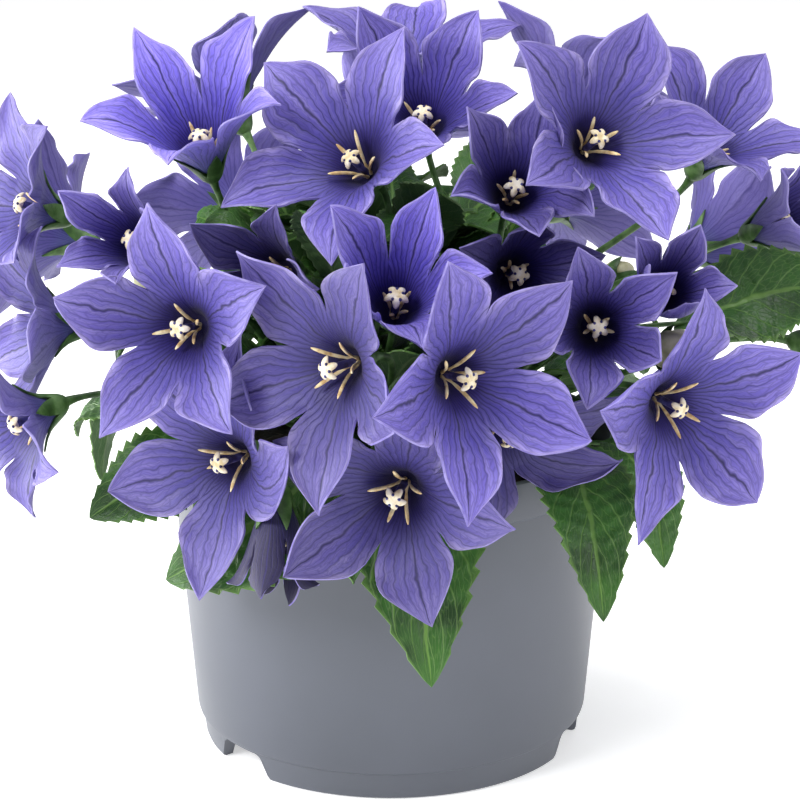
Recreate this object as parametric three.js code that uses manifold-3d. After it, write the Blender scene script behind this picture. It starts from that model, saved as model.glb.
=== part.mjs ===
// A balloon flower in its pot: a tapered grey nursery pot filled with soil, leafy stems
// standing in it, and a dome of five-petalled violet blooms. Millimetres, +Z up, -Y front,
// origin at the middle of the pot's foot.
import * as THREE from 'three';
import { mergeVertices } from 'three/addons/utils/BufferGeometryUtils.js';
import Module from 'manifold-3d';

const wasm = await Module();
wasm.setup();

// Driving dimensions
const GAP = 0.3;
const POT = {
  height: 86, footRadius: 51.7, stepHeight: 7.5, stepOut: 1.8, bandHeight: 75.7, rimRadius: 61,
  bandOut: 0.7, wall: 1.8, sides: 32,
};
const FLOOR = { underside: 7.6, thickness: 2, hubRadius: 12, drainRadius: 4, drainRing: 34, drains: 4 };
const NOTCH = { azimuths: [-50, 70, 190], width: 22, topWidth: 15, height: 6.8, depth: 9 };
const SOIL = { level: 78, bump: 1.6, edge: 2.6, rings: 4, sides: 18 };
const STEM = { radius: 2, holeFloor: 52, forkHeight: 116, lean: 1.3, sides: 5, steps: 3 };
const PEDICEL = { radius: 1, sides: 3, steps: 3, reach: 14, below: 36, sink: 0.5, arch: 5 };
const PETIOLE = { radius: 0.8, sides: 3, steps: 2, below: 10, arch: 4, joint: 0.08 };
const PETAL = {
  count: 5, thickness: 0.8, throat: 2.5, sinus: 0.4, baseSlope: 62, bulge: 1.26, closed: 50,
  flare: 1.8, point: 0.3, rows: [0.62, 0.82], farRows: [0.7],
};
const CALYX = { depth: 3.6, top: 1.2, notch: [2.2, 0.2], point: 0.33, clear: 1.4 };
const CENTRE = {
  style: 11, column: 1.1, collar: 1.4, starRadius: 3.8, starLift: 0.7, starWaist: 1.6, waistDrop: 0.2,
  crown: 0.6, reach: 0.33, clear: 2.6, upright: 70,
};
const LEAF = { thickness: 0.7, teeth: 4, backTeeth: 3, notch: 0.84, fold: 0.16, arch: 3 };
const OWN_CENTRES = 17;
const FINE_BLOOMS = 15;

const COLOURS = {
  pot: 0x8b8f99, soil: 0x2a2226, leaf: 0x4e8a35, petal: 0x6156ac, shaded: 0x4f4498, centre: 0xead6a8,
};

const rad = THREE.MathUtils.degToRad;
const vec = (x, y, z) => new THREE.Vector3(x, y, z);
const HALF_TURN = Math.PI / PETAL.count;

// Blooms, front ones first: throat place, facing (azimuth from -Y towards +X, elevation), turn of the
// petals, petal length, slope of the cup at the sinus, slope of the tips.
const bloom = (x, y, z, azimuth, elevation, spin, length, cup, tip) => (
  { throat: vec(x, y, z), azimuth, elevation, spin, length, cup, tip });
const BLOOMS = [
  bloom(12, -88, 124, 34, 4, -14, 37, 32, 13),
  bloom(-7, -80, 125, -42, 0, 4, 37, 24, 12),
  bloom(64, -60, 111, 32, -6, -32, 37, 28, 10),
  bloom(-5, -38, 161, -34, 34, 20, 38, 35, 2),
  bloom(47, -38, 167, 24, 28, 8, 37, 38, 10),
  bloom(-46, -58, 128, -24, 8, -28, 36, 38, 10),
  bloom(-35, -56, 95, -38, 0, 2, 36, 26, 14),
  bloom(4, -74, 94, -16, -8, 18, 36, 32, 8),
  bloom(1, -62, 131, 4, 40, 11, 35, 66, 22),
  bloom(49, -56, 127, 4, 14, -16, 33, 66, 26),
  bloom(29, -42, 155, 8, 34, 4, 30, 60, 30),
  bloom(9, -8, 166, -6, 44, 4, 36, 52, 24),
  bloom(-87, -5, 145, -66, 20, -6, 34, 30, 12),
  bloom(80, -5, 158, 36, 56, -20, 34, 40, 14),
  bloom(-82, -12, 117, -70, 2, 14, 34, 30, 10),
  bloom(109, 2, 136, 78, 16, 10, 34, 34, 14),
  bloom(-86, -36, 101, -54, -14, 8, 34, 34, 14),
  bloom(26, -60, 107, 20, -28, -20, 33, 34, 14),
  bloom(110, -4, 110, 74, -8, -10, 34, 36, 14),
  bloom(65, -50, 133, 8, 24, 10, 28, 74, 52),
  bloom(-46, -20, 160, -18, 56, 10, 38, 56, 30),
  bloom(-59, -40, 143, -26, 24, 26, 28, 72, 44),
  bloom(94, -14, 142, 46, 24, 16, 30, 66, 34),
  bloom(-27, -69, 87, -6, -66, 42, 25, 76, 66),
  bloom(29, -34, 136, 16, 8, 30, 28, 56, 34),
  bloom(-25, -38, 137, -28, 6, 16, 28, 58, 36),
  bloom(4, 34, 172, 10, 82, 20, 36, 34, 10),
  bloom(-42, 34, 164, -126, 54, 6, 37, 32, 10),
  bloom(46, 38, 162, 128, 52, 14, 37, 32, 10),
  bloom(-86, 40, 128, -112, 16, 24, 36, 32, 12),
  bloom(84, 46, 124, 116, 14, 4, 36, 32, 12),
  bloom(-44, 76, 128, -150, 16, 16, 37, 30, 10),
  bloom(48, 78, 130, 148, 18, 30, 37, 30, 10),
  bloom(2, 74, 150, 178, 40, 10, 37, 32, 8),
  bloom(2, 92, 106, 180, -2, 24, 36, 32, 12),
];

BLOOMS.forEach((flower, i) => { flower.far = i >= FINE_BLOOMS; });

// Closed balloon buds: where the base is, facing, and radius.
const BUDS = [
  [68, -58, 121, 30, 30, 5.5], [-33, -50, 132, -30, 60, 4.5], [-20, 60, 158, -160, 60, 5],
  [66, 66, 112, 140, 10, 5], [-70, 64, 112, -140, 10, 5],
].map(([x, y, z, azimuth, elevation, radius]) => (
  { throat: vec(x, y, z), azimuth, elevation, spin: 0, radius }));

// Where the stems stand in the soil: azimuth and distance from the pot's middle.
const STEMS = [[-58, 26], [-8, 30], [48, 28], [112, 28], [180, 27], [-122, 27]];

// Leaves: where the blade starts, what it bends over, where its tip lies, its width, and how far it rolls
// to one side.
const leaf = (from, over, to, width, roll = 0, teeth = LEAF.teeth) => (
  { from: vec(...from), over: vec(...over), to: vec(...to), width, roll, teeth });
const FRONT_LEAVES = [
  leaf([3, -50, 91], [4, -66, 95], [10, -82, 44], 30),
  leaf([-16, -52, 92], [-30, -66, 80], [-56, -56, 62], 28, -58),
  leaf([-42, -40, 92], [-58, -46, 88], [-76, -46, 75], 23, -60),
  leaf([-12, -54, 91], [-10, -70, 88], [-9, -70, 66], 15),
  leaf([42, -44, 92], [49, -62, 96], [52, -72, 57], 24),
  leaf([54, -36, 92], [66, -46, 94], [69, -50, 63], 19, 30),
  leaf([72, -30, 120], [96, -30, 132], [110, -32, 132], 26, 60),
  leaf([-12, -38, 130], [-19, -54, 157], [-19, -54, 154], 15),
];
// Leaves by rule: how many, their first and last azimuth, where the blades start (radius, height), how
// long they are, how far their tips drop, and their width.
const TIERS = [
  { count: 8, from: 96, to: 264, start: [50, 92], length: 40, drop: 24, width: 20 },
  { count: 8, from: 60, to: 316, start: [38, 116], length: 36, drop: 6, width: 19 },
  { count: 3, from: 90, to: 270, start: [22, 128], length: 30, drop: -22, width: 17 },
];

// A closed body as a solid that can be joined and cut.
function solid(geometry) {
  const bare = geometry.clone();
  bare.deleteAttribute('normal');
  bare.deleteAttribute('uv');
  const merged = mergeVertices(bare, 1e-4);
  const triVerts = [];
  for (let i = 0; i < merged.index.count; i += 3) {
    const [a, b, c] = [0, 1, 2].map((k) => merged.index.getX(i + k));
    if (a !== b && b !== c && c !== a) triVerts.push(a, b, c);
  }
  return new wasm.Manifold(new wasm.Mesh({
    numProp: 3,
    vertProperties: new Float32Array(merged.attributes.position.array),
    triVerts: new Uint32Array(triVerts),
  }));
}

function sheetGeometry(points, triangles) {
  const geometry = new THREE.BufferGeometry().setFromPoints(points);
  geometry.setIndex(triangles.flat());
  return geometry;
}

// A thin blade: a sheet of triangles, and the same triangles again on its other face.
function thicken(points, triangles, thickness) {
  const normals = points.map(() => vec(0, 0, 0));
  const edges = new Set();
  for (const [a, b, c] of triangles) {
    const ab = points[b].clone().sub(points[a]);
    const normal = ab.cross(points[c].clone().sub(points[a]));
    for (const i of [a, b, c]) normals[i].add(normal);
    for (const [i, j] of [[a, b], [b, c], [c, a]]) edges.add(`${i},${j}`);
  }
  const n = points.length;
  const half = normals.map((normal) => normal.normalize().multiplyScalar(thickness / 2));
  const front = points.map((p, i) => p.clone().add(half[i]));
  const back = points.map((p, i) => p.clone().sub(half[i]));
  const faces = triangles.flatMap(([a, b, c]) => [[a, b, c], [a + n, c + n, b + n]]);
  for (const edge of edges) {
    const [a, b] = edge.split(',').map(Number);
    if (!edges.has(`${b},${a}`)) faces.push([b, a, a + n], [b, a + n, b + n]);
  }
  return solid(sheetGeometry([...front, ...back], faces));
}

function revolve(profile, sides) {
  const geometry = new THREE.LatheGeometry(profile.map(([r, z]) => new THREE.Vector2(r, z)), sides);
  return geometry.rotateX(Math.PI / 2);
}

function disc(radius, sides) {
  const shape = new THREE.Shape();
  for (let i = 0; i < sides; i += 1) {
    const a = (2 * Math.PI * i) / sides;
    shape[i ? 'lineTo' : 'moveTo'](radius * Math.cos(a), radius * Math.sin(a));
  }
  return shape;
}

function tube(curve, radius, sides, steps) {
  const path = { steps, extrudePath: curve, curveSegments: 1 };
  return solid(new THREE.ExtrudeGeometry(disc(radius, sides), path));
}

function rod(from, to, radius, sides) {
  return tube(new THREE.LineCurve3(from, to), radius, sides, 1);
}

const polar = (azimuth, radius, z) => (
  vec(radius * Math.sin(rad(azimuth)), -radius * Math.cos(rad(azimuth)), z));

// The pot's tapered wall between its step and its rim band: the outer radius at a height.
function wallRadius(z) {
  const low = POT.footRadius + POT.stepOut;
  const high = POT.rimRadius - POT.stepOut;
  return low + ((high - low) * (z - POT.stepHeight)) / (POT.bandHeight - POT.stepHeight);
}

// The pot: a thin tapered shell with a stepped foot, a rim band and a raised floor.
function potProfile() {
  const { height, footRadius, stepHeight, stepOut, bandHeight, rimRadius, bandOut, wall } = POT;
  const { hubRadius, underside } = FLOOR;
  const floorTop = underside + FLOOR.thickness;
  return [
    [0, 0], [hubRadius, 0], [hubRadius + 1, 1], [hubRadius + 1, underside],
    [footRadius - 2 * wall, underside], [footRadius - 2 * wall + 0.2, 0], [footRadius - 1.2, 0],
    [footRadius, 1.4], [footRadius + 0.6, stepHeight - 0.4], [footRadius + stepOut, stepHeight + 0.4],
    [rimRadius - stepOut, bandHeight - 0.6], [rimRadius - bandOut, bandHeight + 0.4],
    [rimRadius, height - 1], [rimRadius - 0.5, height], [rimRadius - wall, height],
    [rimRadius - bandOut - wall, bandHeight + 0.4], [rimRadius - stepOut - wall, bandHeight - 0.6],
    [footRadius + stepOut - wall, floorTop], [0, floorTop],
  ];
}

function notch(azimuth) {
  const half = NOTCH.width / 2;
  const top = NOTCH.topWidth / 2;
  const shape = new THREE.Shape();
  shape.moveTo(-half, -1);
  shape.lineTo(half, -1);
  shape.lineTo(top, NOTCH.height);
  shape.lineTo(-top, NOTCH.height);
  const wedge = new THREE.ExtrudeGeometry(shape, { depth: NOTCH.depth, bevelEnabled: false });
  wedge.rotateX(Math.PI / 2).translate(0, -(POT.footRadius - NOTCH.depth / 2 - 2), 0);
  return solid(wedge.rotateZ(rad(azimuth)));
}

function drain(azimuth) {
  const [low, high] = [-1, 4].map((past) => polar(azimuth, FLOOR.drainRing, FLOOR.underside + past));
  return rod(low, high, FLOOR.drainRadius, 8);
}

function makePot() {
  let pot = solid(revolve(potProfile(), POT.sides));
  for (const azimuth of NOTCH.azimuths) pot = pot.subtract(notch(azimuth));
  for (let i = 0; i < FLOOR.drains; i += 1) pot = pot.subtract(drain((360 / FLOOR.drains) * i));
  return pot;
}

// The soil fills the pot to just under its rim band, with an uneven top.
function makeSoil() {
  const floorTop = FLOOR.underside + FLOOR.thickness + GAP;
  const shoulder = POT.bandHeight - 2;
  const [low, high] = [POT.stepHeight, shoulder - floorTop + POT.stepHeight].map((z) => (
    wallRadius(z) - POT.wall - GAP - 0.4));
  const profile = [[0, floorTop], [low, floorTop], [high, shoulder]];
  for (let i = SOIL.rings; i >= 0; i -= 1) {
    profile.push([((high - SOIL.edge) * i) / SOIL.rings, SOIL.level]);
  }
  const geometry = revolve(profile, SOIL.sides);
  const position = geometry.attributes.position;
  for (let i = 0; i < position.count; i += 1) {
    const [x, y, z] = [position.getX(i), position.getY(i), position.getZ(i)];
    if (z > SOIL.level - 1) {
      position.setZ(i, z + SOIL.bump * Math.sin(x * 0.31 + 1) * Math.cos(y * 0.27));
    }
  }
  let soil = solid(geometry);
  for (let stem = 0; stem < STEMS.length; stem += 1) {
    const hole = stemCurve(stem, STEM.holeFloor);
    soil = soil.subtract(tube(hole, STEM.radius + 2 * GAP, 8, STEM.steps));
  }
  return soil;
}

// The directions of a bloom: out of its throat, down its face, and across it.
function facing({ azimuth, elevation }) {
  const a = rad(azimuth);
  const e = rad(elevation);
  const out = vec(Math.sin(a) * Math.cos(e), -Math.cos(a) * Math.cos(e), Math.sin(e));
  const down = vec(Math.sin(a) * Math.sin(e), -Math.cos(a) * Math.sin(e), -Math.cos(e));
  return { out, down, side: out.clone().cross(down) };
}

const ease = (x) => {
  const t = THREE.MathUtils.clamp(x, 0, 1);
  return t * t * (3 - 2 * t);
};

// A petal's midrib, from the throat over the cup to the tip: radius and height at fraction t.
function midrib({ length, cup, tip }, lift, t, reach = 1) {
  const pieces = 60;
  let r = PETAL.throat;
  let h = 0;
  for (let i = 0; i < Math.round(pieces * t); i += 1) {
    const u = (i + 0.5) / pieces;
    const inCup = u < PETAL.sinus;
    const turn = inCup ? ease(u / PETAL.sinus) : ease(((u - PETAL.sinus) / (1 - PETAL.sinus)) * 0.8);
    const [from, to] = inCup ? [PETAL.baseSlope, cup] : [cup, tip + lift];
    const slope = from + (to - from) * turn;
    const piece = (length / pieces) * (inCup ? 1 : reach);
    r += piece * Math.cos(rad(slope));
    h += piece * Math.sin(rad(slope));
  }
  return [r, h];
}

function place(flower, radius, height, angle, across = 0) {
  const { out, down, side } = facing(flower);
  const [c, s] = [Math.cos(rad(angle)), Math.sin(rad(angle))];
  const spoke = down.clone().multiplyScalar(c).addScaledVector(side, s);
  const sideways = side.clone().multiplyScalar(c).addScaledVector(down, -s);
  return flower.throat.clone().addScaledVector(spoke, radius).addScaledVector(out, height)
    .addScaledVector(sideways, across);
}

// Three points across a petal's lobe at fraction t: its two edges curl in a little towards the throat.
function lobeRow(flower, petal, { lift, sway, reach }, t) {
  const tau = (t - PETAL.sinus) / (1 - PETAL.sinus);
  const angle = flower.spin + (360 / PETAL.count) * petal + sway * tau;
  const [sinusRadius] = midrib(flower, 0, PETAL.sinus);
  const [r, h] = midrib(flower, lift, t, reach);
  const bulge = (flower.cup > PETAL.closed ? 1 : PETAL.bulge) ** Math.min(1, 4 * tau);
  const share = (1 - tau) * (1 + PETAL.flare * tau) * (1 - PETAL.point * tau ** 3) * bulge;
  const half = sinusRadius * Math.sin(HALF_TURN) * share;
  const curl = sinusRadius * (1 - Math.cos(HALF_TURN)) * share * share;
  return [-half, 0, half].map((across) => place(flower, across ? r - curl : r, h, angle, across));
}

function lobeSheet(flower, petal, bend) {
  const inner = flower.far ? PETAL.farRows : PETAL.rows;
  const rows = [PETAL.sinus, ...inner].map((t) => lobeRow(flower, petal, bend, t));
  const [, tip] = lobeRow(flower, petal, bend, 1);
  return { rows, tip };
}

function stripTriangles(inner, outer) {
  const triangles = [];
  for (let j = 0; j + 1 < inner.length; j += 1) {
    triangles.push([inner[j], outer[j], outer[j + 1]], [inner[j], outer[j + 1], inner[j + 1]]);
  }
  return triangles;
}

// Strips between rows of three points, from one row's first point up to the tip.
function rowTriangles(first, last) {
  const triangles = [];
  for (let i = first; i + 3 < last; i += 3) {
    triangles.push(...stripTriangles([i, i + 1, i + 2], [i + 3, i + 4, i + 5]));
  }
  return triangles;
}

// A lobe by itself, with clearance all round, for telling what it would cross.
function lobeProbe(flower, petal, bend) {
  const { rows, tip } = lobeSheet(flower, petal, bend);
  const points = [...rows.flat(), tip];
  const last = points.length - 1;
  const triangles = [[last - 3, last, last - 2], [last - 2, last, last - 1], ...rowTriangles(0, last)];
  return thicken(points, triangles, PETAL.thickness + 2 * GAP + 0.1);
}

// The cup of a bloom, up to the sinuses between its petals.
function cupPoints(flower) {
  const [r, h] = midrib(flower, 0, PETAL.sinus);
  const mouth = Array.from({ length: 10 }, (_, i) => place(flower, r, h, flower.spin + 36 * i));
  return [flower.throat, ...mouth];
}

const cupTriangles = () => Array.from({ length: 10 }, (_, i) => [0, 1 + i, 1 + ((i + 1) % 10)]);

// The whole corolla: the cup and its five lobes in one thin sheet.
function makeCorolla(flower, bends) {
  const points = cupPoints(flower);
  const triangles = cupTriangles();
  for (let petal = 0; petal < PETAL.count; petal += 1) {
    const { rows, tip } = lobeSheet(flower, petal, bends[petal]);
    let inner = [1 + ((2 * petal + 9) % 10), 1 + 2 * petal, 1 + 2 * petal + 1];
    for (const row of rows.slice(1)) {
      const outer = row.map((point) => points.push(point) - 1);
      triangles.push(...stripTriangles(inner, outer));
      inner = outer;
    }
    const end = points.push(tip) - 1;
    triangles.push([inner[0], end, inner[1]], [inner[1], end, inner[2]]);
  }
  return thicken(points, triangles, PETAL.thickness);
}

// A closed bud, blown up like a small balloon with five soft corners.
function makeBud(bud) {
  const { radius } = bud;
  return ringed(bud, -CALYX.depth, [
    roundRing(0.6 * radius, -CALYX.depth + 0.4 * radius, 0), roundRing(radius, 0.2 * radius, 0),
    roundRing(0.8 * radius, 1.0 * radius, 0),
  ], 1.7 * radius);
}

// A closed body of rings round a bloom's own axis; each ring lists its corners as radius, height and turn.
function ringed(flower, foot, rings, crown) {
  const at = ([r, h, angle]) => place(flower, r, h, flower.spin + angle);
  const points = [at([0, foot, 0]), ...rings.flat().map(at), at([0, crown, 0])];
  const triangles = [];
  let first = 1;
  rings.forEach((ring, k) => {
    const n = ring.length;
    for (let i = 0; i < n; i += 1) {
      const next = (i + 1) % n;
      if (k === 0) triangles.push([0, first + next, first + i]);
      if (k === rings.length - 1) triangles.push([points.length - 1, first + i, first + next]);
    }
    if (k + 1 < rings.length) triangles.push(...between(first, n, first + n, rings[k + 1].length));
    first += n;
  });
  return solid(sheetGeometry(points, triangles));
}

// Triangles between two rings of five or ten corners, the lower one first.
function between(low, lowCount, high, highCount) {
  const triangles = [];
  for (let i = 0; i < 10; i += 1) {
    const j = i + 1;
    const [a, b] = [i, j].map((k) => low + (lowCount === 10 ? k % 10 : Math.floor(k / 2) % 5));
    const [c, d] = [i, j].map((k) => high + (highCount === 10 ? k % 10 : Math.floor(k / 2) % 5));
    if (a !== b) triangles.push([a, b, d]);
    if (c !== d) triangles.push([a, d, c]);
  }
  return triangles;
}

// Ten corners, the even ones at the points of a star and the odd ones in the notches between them.
const starRing = (point, notchAt, turn) => (
  Array.from({ length: 10 }, (_, i) => [...(i % 2 ? notchAt : point), 36 * i + turn]));
const roundRing = (r, h, turn) => Array.from({ length: 5 }, (_, i) => [r, h, 72 * i + turn]);

// The calyx: a green star that holds the cup from behind, its points between the petals.
function makeCalyx(flower) {
  const [r, h] = midrib(flower, 0, CALYX.point);
  const slope = Math.atan2(h, r);
  const point = [r + CALYX.clear * Math.sin(slope), h - CALYX.clear * Math.cos(slope)];
  return ringed(flower, -CALYX.depth, [starRing(point, CALYX.notch, 36)], -CALYX.top);
}

// The style with its five-lobed stigma, and five stamens that lean out over the cup. It is seated on the
// cup, a hair clear of it, or grown into it.
function makeCentre(flower, seated) {
  const { style, column, collar, starRadius, starLift, starWaist, waistDrop, crown } = CENTRE;
  const [mouth, depth] = midrib(flower, 0, PETAL.sinus);
  const steepness = depth / mouth;
  const foot = seated ? (PETAL.thickness / 2 + GAP) * Math.hypot(1, steepness) : 0;
  const waist = foot + column * steepness;
  const [r, h] = midrib(flower, 0, CENTRE.reach);
  const slope = rad(flower.cup);
  const open = [r - CENTRE.clear * Math.sin(slope), h + CENTRE.clear * Math.cos(slope)];
  const tip = flower.cup > CENTRE.upright ? [column + 0.1, waist + 0.4] : open;
  return ringed(flower, foot, [
    starRing(tip, [column, waist], 18),
    roundRing(column, waist + collar, 36), roundRing(column, style - 1, 36),
    starRing([starRadius, style + starLift], [starWaist, style - waistDrop], 18),
  ], style + crown);
}

// The stem that a bloom or leaf grows from: the one whose foot lies nearest.
function nearestStem(point) {
  const below = vec(point.x, point.y, 0);
  const away = ([azimuth, distance]) => polar(azimuth, distance * 1.6, 0).distanceTo(below);
  return STEMS.reduce((best, stem, i) => (away(stem) < away(STEMS[best]) ? i : best), 0);
}

function stemPoint(stem, z) {
  const [azimuth, distance] = STEMS[stem];
  const rise = THREE.MathUtils.clamp((z - SOIL.level) / (STEM.forkHeight - SOIL.level), 0, 1);
  return polar(azimuth, distance * (1 + (STEM.lean - 1) * rise), z);
}

function stemCurve(stem, floor) {
  return new THREE.CatmullRomCurve3([floor, SOIL.level, STEM.forkHeight].map((z) => stemPoint(stem, z)));
}

// A flower stalk, from its stem to the back of the calyx.
function makePedicel(flower) {
  const { out } = facing(flower);
  const end = place(flower, 0, -CALYX.depth + PEDICEL.sink, 0);
  const start = stemPoint(nearestStem(flower.throat),
    THREE.MathUtils.clamp(flower.throat.z - PEDICEL.below, SOIL.level + 12, STEM.forkHeight - 3));
  const back = end.clone().addScaledVector(out, -PEDICEL.reach);
  const up = start.clone().lerp(back, 0.35).add(vec(0, 0, PEDICEL.arch));
  const curve = new THREE.CubicBezierCurve3(start, up, back, end);
  return tube(curve, PEDICEL.radius, PEDICEL.sides, PEDICEL.steps);
}

const leafCurve = ({ from, over, to }) => new THREE.QuadraticBezierCurve3(from, over, to);

// The outline of a toothed leaf, arching from its stalk over to its tip, with a shallow fold at its midrib.
// It rolls to its side by the middle of its length.
function leafPoints(blade) {
  const { from, to, width, roll, teeth } = blade;
  const curve = leafCurve(blade);
  const rows = teeth * 2;
  const points = [from.clone()];
  for (let i = 1; i < rows; i += 1) {
    const t = i / rows;
    const along = curve.getTangent(t);
    const turn = rad(roll * Math.min(1, 2 * t));
    const across = along.clone().cross(vec(0, 0, 1)).normalize().applyAxisAngle(along, turn);
    const up = across.clone().cross(along);
    const tooth = i % 2 ? 1 : LEAF.notch;
    const half = (width / 2) * tooth * Math.sin(Math.PI * t ** 0.75) ** 0.8;
    const middle = curve.getPoint(t);
    points.push(...[half, 0, -half].map((reach) => (
      middle.clone().addScaledVector(across, reach).addScaledVector(up, Math.abs(reach) * LEAF.fold))));
  }
  points.push(to.clone());
  return points;
}

function makeLeaf(blade) {
  const points = leafPoints(blade);
  const last = points.length - 1;
  const ends = [[0, 1, 2], [0, 2, 3], [last - 3, last, last - 2], [last - 2, last, last - 1]];
  return thicken(points, [...ends, ...rowTriangles(1, last)], LEAF.thickness);
}

// A leaf's stalk, from its stem to a little way up the blade.
function makePetiole(blade) {
  const height = THREE.MathUtils.clamp(blade.from.z - PETIOLE.below, SOIL.level + 4, STEM.forkHeight - 2);
  const start = stemPoint(nearestStem(blade.from), height);
  const into = leafCurve(blade).getPoint(PETIOLE.joint);
  const bend = start.clone().lerp(into, 0.5).add(vec(0, 0, PETIOLE.arch));
  const curve = new THREE.QuadraticBezierCurve3(start, bend, into);
  return tube(curve, PETIOLE.radius, PETIOLE.sides, PETIOLE.steps);
}

// What is already in place, each body with its bounds, and whether a new one would cross any of it.
const placed = [];

function settle(body, points, owner) {
  placed.push({ body, box: new THREE.Box3().setFromPoints(points), owner });
}

function boundsOf(body) {
  const { min, max } = body.boundingBox();
  return [vec(...min), vec(...max)];
}

function crossing(body, owner) {
  const box = new THREE.Box3().setFromPoints(boundsOf(body));
  let volume = 0;
  for (const other of placed) {
    if (other.owner !== owner && other.box.intersectsBox(box)) {
      volume += body.intersect(other.body).volume();
    }
  }
  return volume;
}

const pot = makePot();
const soil = makeSoil();
for (const body of [pot, soil]) settle(body, boundsOf(body), 'holder');

const stalks = STEMS.map((_, stem) => (
  [tube(stemCurve(stem, STEM.holeFloor + GAP), STEM.radius, STEM.sides, STEM.steps)]));
BLOOMS.forEach((flower) => {
  stalks[nearestStem(flower.throat)].push(makePedicel(flower).add(makeCalyx(flower)));
});
BUDS.forEach((bud) => {
  stalks[nearestStem(bud.throat)].push(makePedicel(bud).add(makeBud(bud)));
});
stalks.forEach((bodies, stem) => bodies.forEach((body) => settle(body, boundsOf(body), `stem${stem}`)));

BLOOMS.forEach((flower, i) => {
  const cup = thicken(cupPoints(flower), cupTriangles(), PETAL.thickness + 2 * GAP);
  settle(cup, boundsOf(cup), i);
  const centre = makeCentre(flower, true);
  settle(centre, boundsOf(centre), i);
});

// Each leaf drops, rises or turns by the least that takes it clear of what stands round it.
const PLACES = [0, -8, 8, -16, 16, -26].flatMap((drop) => (
  [0, -12, 12, -24, 24].map((turn) => [drop, turn])));
function growLeaf(blade) {
  const stem = nearestStem(blade.from);
  for (const [drop, turn] of PLACES) {
    const moved = { ...blade };
    for (const end of ['over', 'to']) {
      const arm = blade[end].clone().sub(blade.from).applyAxisAngle(vec(0, 0, 1), rad(turn));
      moved[end] = arm.add(blade.from).add(vec(0, 0, drop));
    }
    const body = makeLeaf(moved).add(makePetiole(moved));
    if (crossing(body, `stem${stem}`) < 1e-6) {
      stalks[stem].push(body);
      settle(body, boundsOf(body), `stem${stem}`);
      return;
    }
  }
}

// Each petal bends up or down, to one side, or draws in, by the least that takes it clear of the rest.
const BENDS = [1, 0.8, 0.62, 0.5].flatMap((reach) => [0, -14, 14, -26, 26, -38, 38].flatMap((sway) => (
  [0, 8, -8, 16, -16, 25, -25, 35, -35, 46, -46, 58, -58, 70].map((lift) => ({ lift, sway, reach })))));
function bendClear(flower, i, petal) {
  let best = { volume: Infinity };
  for (const bend of BENDS) {
    const body = lobeProbe(flower, petal, bend);
    const volume = crossing(body, i);
    if (volume < best.volume - 1e-6) best = { bend, volume, body };
    if (volume < 1e-6) break;
  }
  settle(best.body, boundsOf(best.body), i);
  return best.bend;
}

// Leaves in tiers up the stems.
function tierLeaves({ count, from, to, start: [radius, height], length, drop, width }) {
  return Array.from({ length: count }, (_, i) => {
    const azimuth = from + ((to - from) * i) / (count - 1);
    const sway = Math.sin(i * 2.4);
    const base = polar(azimuth, radius, height + 3 * sway);
    const tip = polar(azimuth + 8 * sway, radius + length, height - drop * (1 + 0.4 * sway));
    const over = tip.clone().setZ(Math.max(base.z, tip.z) + LEAF.arch);
    return leaf(base, over, tip, width, 20 * sway, LEAF.backTeeth);
  });
}

FRONT_LEAVES.forEach(growLeaf);
const bends = BLOOMS.map((flower, i) => [0, 1, 2, 3, 4].map((petal) => bendClear(flower, i, petal)));
TIERS.flatMap(tierLeaves).forEach(growLeaf);

const group = new THREE.Group();

function addMesh(name, body, color, roughness) {
  const { numProp, vertProperties, triVerts } = body.getMesh();
  const geometry = new THREE.BufferGeometry();
  const positions = new THREE.InterleavedBuffer(vertProperties, numProp);
  geometry.setAttribute('position', new THREE.InterleavedBufferAttribute(positions, 3, 0));
  geometry.setIndex(new THREE.BufferAttribute(triVerts, 1));
  const mesh = new THREE.Mesh(geometry, new THREE.MeshStandardMaterial({ color, roughness, metalness: 0 }));
  mesh.name = name;
  group.add(mesh);
}

addMesh('pot', pot, COLOURS.pot, 0.45);
addMesh('soil', soil, COLOURS.soil, 0.95);
stalks.forEach((bodies, stem) => {
  addMesh(`leafy_stem_${stem + 1}`, bodies.reduce((whole, body) => whole.add(body)), COLOURS.leaf, 0.6);
});
BLOOMS.forEach((flower, i) => {
  const number = String(i + 1).padStart(2, '0');
  const corolla = makeCorolla(flower, bends[i]);
  const shade = flower.cup > PETAL.closed ? COLOURS.shaded : COLOURS.petal;
  if (i < OWN_CENTRES) {
    addMesh(`corolla_${number}`, corolla, shade, 0.6);
    addMesh(`centre_${number}`, makeCentre(flower, true), COLOURS.centre, 0.55);
  } else {
    addMesh(`bloom_${number}`, corolla.add(makeCentre(flower, false)), shade, 0.6);
  }
});

export default group;
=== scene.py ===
# A balloon flower in its pot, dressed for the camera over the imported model: veined petals, toothed
# leaves, stamens and calyces, a moulded pot and crumbly peat. The plant's own numbers are in
# millimetres and degrees. Its pieces are finished in metres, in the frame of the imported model.
import functools
import math
import random

import bpy
import numpy as np
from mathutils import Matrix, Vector, noise


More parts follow.
